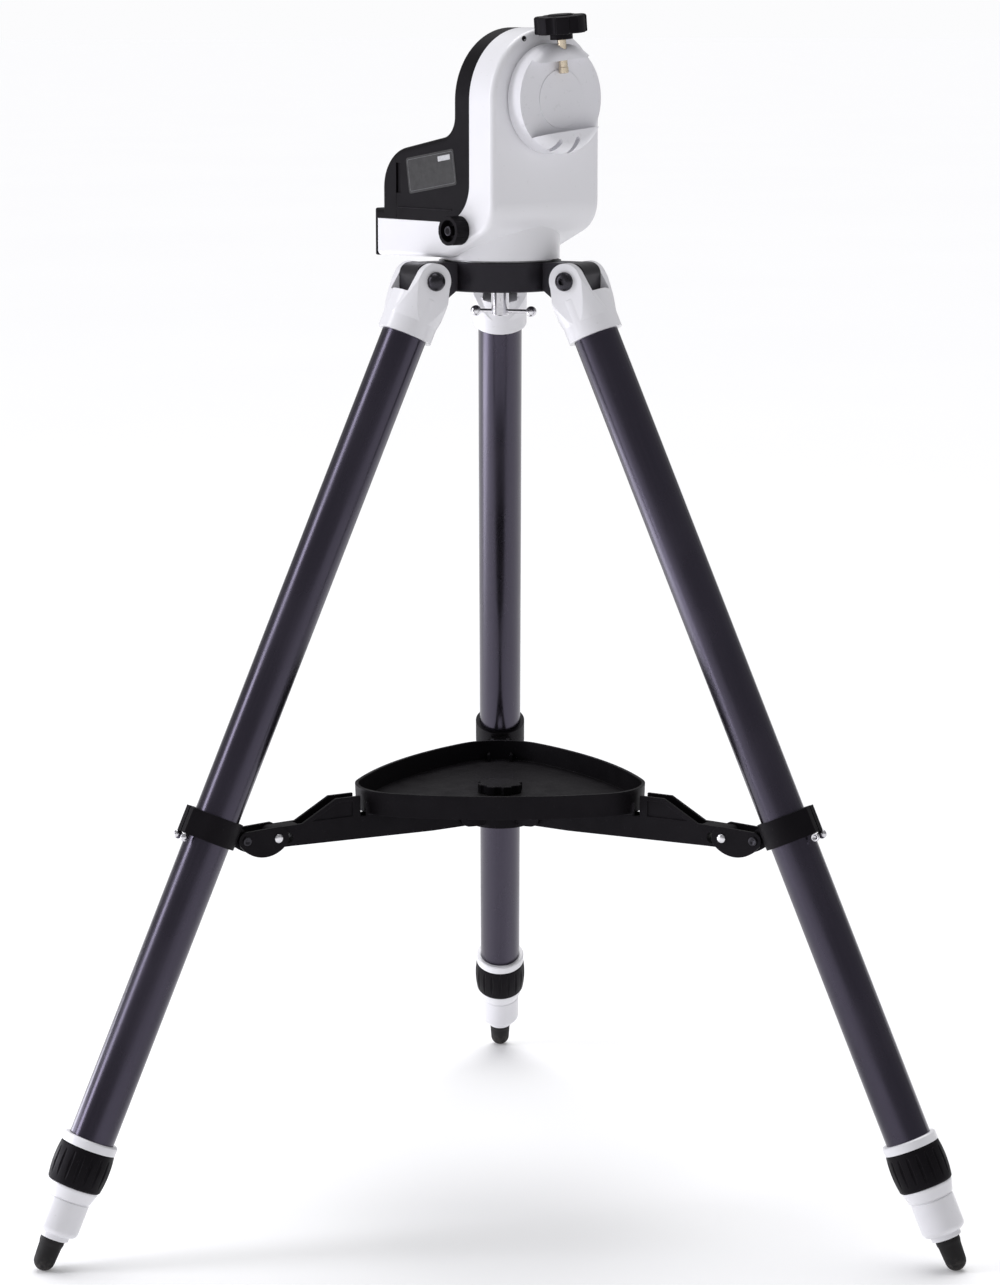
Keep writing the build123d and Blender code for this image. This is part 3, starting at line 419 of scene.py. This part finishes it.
def piece(name, mesh_data, body, material, place):
    """Object from a bmesh, riding a body of the frame."""
    mesh = bpy.data.meshes.new(name)
    mesh_data.to_mesh(mesh)
    mesh_data.free()
    mesh.transform(place)
    mesh.materials.append(material)
    shape = bpy.data.objects.new(name, mesh)
    bpy.context.scene.collection.objects.link(shape)
    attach(shape, body)


def spun(outline):
    """bmesh turned about z from (radius, height) points, closed where the radius is 0."""
    shape = bmesh.new()
    rings = []
    for radius, height in outline:
        if radius == 0:
            rings.append([shape.verts.new((0, 0, height * MM))])
            continue
        ring = []
        for step in range(TURNED_SEGMENTS):
            turn = 2 * math.pi * step / TURNED_SEGMENTS
            x = radius * MM * math.cos(turn)
            y = radius * MM * math.sin(turn)
            ring.append(shape.verts.new((x, y, height * MM)))
        rings.append(ring)
    for low, high in zip(rings, rings[1:]):
        for step in range(TURNED_SEGMENTS):
            after = (step + 1) % TURNED_SEGMENTS
            corners = (low[step % len(low)], low[after % len(low)],
                       high[after % len(high)], high[step % len(high)])
            unique = list(dict.fromkeys(corners))
            if len(unique) > 2:
                shape.faces.new(unique)
    bmesh.ops.recalc_face_normals(shape, faces=shape.faces)
    for face in shape.faces:
        face.smooth = True
    return shape


def plate(sizes):
    """Rounded plate in the x-z plane, its back on y = 0 and its front toward -y."""
    width, height, thickness, corner, edge = (size * MM for size in sizes)
    shape = bmesh.new()
    outline = []
    for sx, sz, start in ((1, 1, 0), (-1, 1, 90), (-1, -1, 180), (1, -1, 270)):
        for step in range(CORNER_STEPS + 1):
            turn = math.radians(start + 90 * step / CORNER_STEPS)
            x = sx * (width / 2 - corner) + corner * math.cos(turn)
            z = sz * (height / 2 - corner) + corner * math.sin(turn)
            outline.append((x, z))
    back = [shape.verts.new((x, 0, z)) for x, z in outline]
    front = [shape.verts.new((x, -thickness, z)) for x, z in outline]
    shape.faces.new(back)
    shape.faces.new(front[::-1])
    for step in range(len(outline)):
        after = (step + 1) % len(outline)
        shape.faces.new((back[step], back[after], front[after], front[step]))
    bmesh.ops.recalc_face_normals(shape, faces=shape.faces)
    rims = [line for line in shape.edges
            if all(abs(vertex.co.y + thickness) < SAME_PLACE for vertex in line.verts)]
    bmesh.ops.bevel(shape, geom=rims, offset=edge, segments=2, affect="EDGES")
    return shape


def block(size, edge, segments=3):
    """Box of that size round the origin with rounded edges."""
    shape = bmesh.new()
    bmesh.ops.create_cube(shape, size=1.0)
    bmesh.ops.scale(shape, vec=[length * MM for length in size], verts=shape.verts)
    bmesh.ops.bevel(shape, geom=shape.edges[:], offset=edge * MM, segments=segments,
                    affect="EDGES")
    return shape


def make_label():
    """The blank name plate on the head's side: black, with a paler rim and one pale patch."""
    black = painted("label_black", (0.007, 0.006, 0.007), (0.011, 0.010, 0.012), 0.45, 500, 0.004)
    rim = painted("label_rim", (0.10, 0.10, 0.11), (0.16, 0.16, 0.17), 0.40, 500, 0.004)
    pale = painted("label_patch", (0.50, 0.50, 0.52), (0.42, 0.42, 0.44), 0.40, 500, 0.004)
    side = shift(*LABEL_PLACE) @ turned(LABEL_SLOPE, "Y")
    piece("label_plate", plate(LABEL_PLATE), "head", black, side)
    piece("label_line", plate(LABEL_LINE), "head", rim, side @ shift(*LINE_PLACE))
    piece("label_field", plate(LABEL_FIELD), "head", black, side @ shift(*FIELD_PLACE))
    piece("label_patch", plate(LABEL_PATCH), "head", pale, side @ shift(*PATCH_PLACE))


def make_spreader_rivets():
    """Rivet heads and recessed screws on the outside of each link."""
    for number, azimuth in enumerate(LEG_AZIMUTHS, start=1):
        body = f"spreader_link_{number}"
        for side in SIDES:
            for name, outline, material, (x, z) in (
                    ("link_rivet", RIVET, "chrome_steel", RIVET_PLACE),
                    ("link_screw", LINK_SCREW, "black_zinc", LINK_SCREW_PLACE)):
                face = shift(x, side * LINK_FACE, z) @ turned(-90 * side, "X")
                piece(f"{name}_{number}_{side + 2}", spun(outline), body, MATERIALS[material],
                      turned(azimuth, "Z") @ face)


def make_arm_clips():
    """Corner clips under the tray, one astride each spreader arm."""
    x, y, z = CLIP_PLACE
    for number, azimuth in enumerate(LEG_AZIMUTHS, start=1):
        for side in SIDES:
            piece(f"tray_clip_{number}_{side + 2}", block(CLIP_SIZE, CLIP_EDGE), "spreader_centre",
                  MATERIALS["black_plastic"], turned(azimuth, "Z") @ shift(x, side * y, z))


def make_knob_details():
    """Dark insert in the azimuth lock, cap rings on the two large knobs."""
    black = MATERIALS["black_plastic"]
    lock = shift(*LOCK_PLACE) @ turned(90, "X")
    piece("lock_insert", spun(LOCK_INSERT), "azimuth_lock_knob", MATERIALS["black_zinc"], lock)
    piece("lock_bore", spun(LOCK_BORE), "azimuth_lock_knob", black, lock)
    clutch = Matrix.Translation((CLUTCH_CAP_X * MM, 0, ALTITUDE_AXIS)) @ turned(-90, "Y")
    piece("clutch_cap", spun(CLUTCH_CAP), "altitude_clutch_knob", black, clutch)
    up_saddle = Vector((0, -math.sin(SADDLE_TILT), math.cos(SADDLE_TILT)))
    axis = Vector((SADDLE_FACE_X * MM + CLAMP_FORWARD * MM, 0, ALTITUDE_AXIS))
    clamp = Matrix.Translation(axis + up_saddle * CLAMP_TOP * MM)
    piece("clamp_cap", spun(CLAMP_CAP), "clamp", black,
          clamp @ Matrix.Rotation(SADDLE_TILT, 4, "X"))


def make_collar_screws():
    """Pinch screw across the slit of each leg collar, head on one side and nut on the other."""
    x, y, z = COLLAR_SCREW_PLACE
    for number, azimuth in enumerate(LEG_AZIMUTHS, start=1):
        for side, outline in zip(SIDES, (COLLAR_HEAD, COLLAR_NUT)):
            place = leg_frame(azimuth) @ shift(x, side * y, z) @ turned(-90 * side, "X")
            piece(f"collar_screw_{number}_{side + 2}", spun(outline), f"leg_{number}",
                  MATERIALS["chrome_steel"], place)


def make_panel_details():
    """Contacts in the two sockets and the jack's ring."""
    for number, x in enumerate(SOCKET_XS, start=1):
        for pin in range(PIN_COUNT):
            place = shift(x - FIRST_PIN + PIN_PITCH * pin, PIN_Y, PIN_Z)
            piece(f"socket_{number}_pin_{pin + 1}", block(PIN_SIZE, PIN_EDGE), "head",
                  MATERIALS["brass"], place)
    jack = shift(*JACK_PLACE) @ turned(-90, "X")
    piece("jack_ring", spun(JACK_RING), "head", MATERIALS["chrome_steel"], jack)


def make_seams():
    """The dark screw hole on the front, a flush black disc that is painted shade for the hole, and
    the raised lip of the cover along the seam.
    """
    black = MATERIALS["black_plastic"]
    # Black disc where the front screw hole is: painted shade in place of the hole's depth.
    front = shift(*FRONT_HOLE_PLACE) @ turned(90, "Y")
    piece("front_hole_painted_shade", spun(FRONT_HOLE), "head", black, front)
    x, y, z = LIP_PLACE
    for side in SIDES:
        piece(f"cover_lip_{side + 2}", block(LIP_SIZE, LIP_EDGE, segments=2), "head", black,
              shift(x, side * y, z))


make_label()
make_spreader_rivets()
make_arm_clips()
make_knob_details()
make_collar_screws()
make_panel_details()
make_seams()


# ------------------------------------------------------------------ floor and light
def make_floor():
    """A plain pale floor, so large that its edge is out of sight, with a weak glow."""
    finish = Finish("pale_floor", (0.86, 0.86, 0.87), 0.75, specular=0.1)
    finish.shader.inputs["Emission Color"].default_value = (1.0, 1.0, 1.0, 1.0)
    finish.shader.inputs["Emission Strength"].default_value = FLOOR_GLOW
    clouds = finish.band(finish.noise(0.8, 3), 0.40, 0.70, to_high=0.5)
    finish.tone(clouds, (0.88, 0.88, 0.885))
    mesh = bpy.data.meshes.new("floor")
    corners = [(x * FLOOR_HALF, y * FLOOR_HALF, 0)
               for x, y in ((-1, -1), (1, -1), (1, 1), (-1, 1))]
    mesh.from_pydata(corners, [], [(0, 1, 2, 3)])
    mesh.materials.append(finish.done())
    floor = bpy.data.objects.new("floor", mesh)
    bpy.context.scene.collection.objects.link(floor)


def softbox(name, place, target, width, height, power, colour):
    """Rectangular soft light that faces a target."""
    data = bpy.data.lights.new(name, "AREA")
    data.shape = "RECTANGLE"
    data.size = width
    data.size_y = height
    data.energy = power
    data.color = colour
    light = bpy.data.objects.new(name, data)
    light.location = place
    light.rotation_euler = (Vector(target) - Vector(place)).to_track_quat("-Z", "Y").to_euler()
    bpy.context.scene.collection.objects.link(light)


def make_light():
    """A white studio: a wide sun above, a tall soft light and a low card, both on the left."""
    world = bpy.data.worlds.new("studio")
    bpy.context.scene.world = world
    world.use_nodes = True
    tree = world.node_tree
    lighting = tree.nodes["Background"]
    lighting.inputs["Color"].default_value = (0.98, 0.98, 1.0, 1.0)
    lighting.inputs["Strength"].default_value = WORLD_STRENGTH
    backdrop = tree.nodes.new("ShaderNodeBackground")
    backdrop.inputs["Color"].default_value = (0.973, 0.973, 0.982, 1.0)
    seen = tree.nodes.new("ShaderNodeLightPath")
    choice = tree.nodes.new("ShaderNodeMixShader")
    tree.links.new(seen.outputs["Is Camera Ray"], choice.inputs[0])
    tree.links.new(lighting.outputs[0], choice.inputs[1])
    tree.links.new(backdrop.outputs[0], choice.inputs[2])
    tree.links.new(choice.outputs[0], tree.nodes["World Output"].inputs["Surface"])
    sun = bpy.data.lights.new("overhead", "SUN")
    sun.energy = SUN_STRENGTH
    sun.angle = SUN_SPREAD
    overhead = bpy.data.objects.new("overhead", sun)
    overhead.rotation_euler = SUN_TURN
    bpy.context.scene.collection.objects.link(overhead)
    softbox("key", KEY_PLACE, KEY_TARGET, width=0.8, height=3.0, power=KEY_POWER,
            colour=(0.95, 0.95, 1.0))
    softbox("low_card", LOW_CARD_PLACE, LOW_CARD_TARGET, width=0.9, height=0.25,
            power=LOW_CARD_POWER, colour=(0.93, 0.93, 1.0))


make_floor()
make_light()
bpy.context.scene.view_settings.view_transform = "Standard"
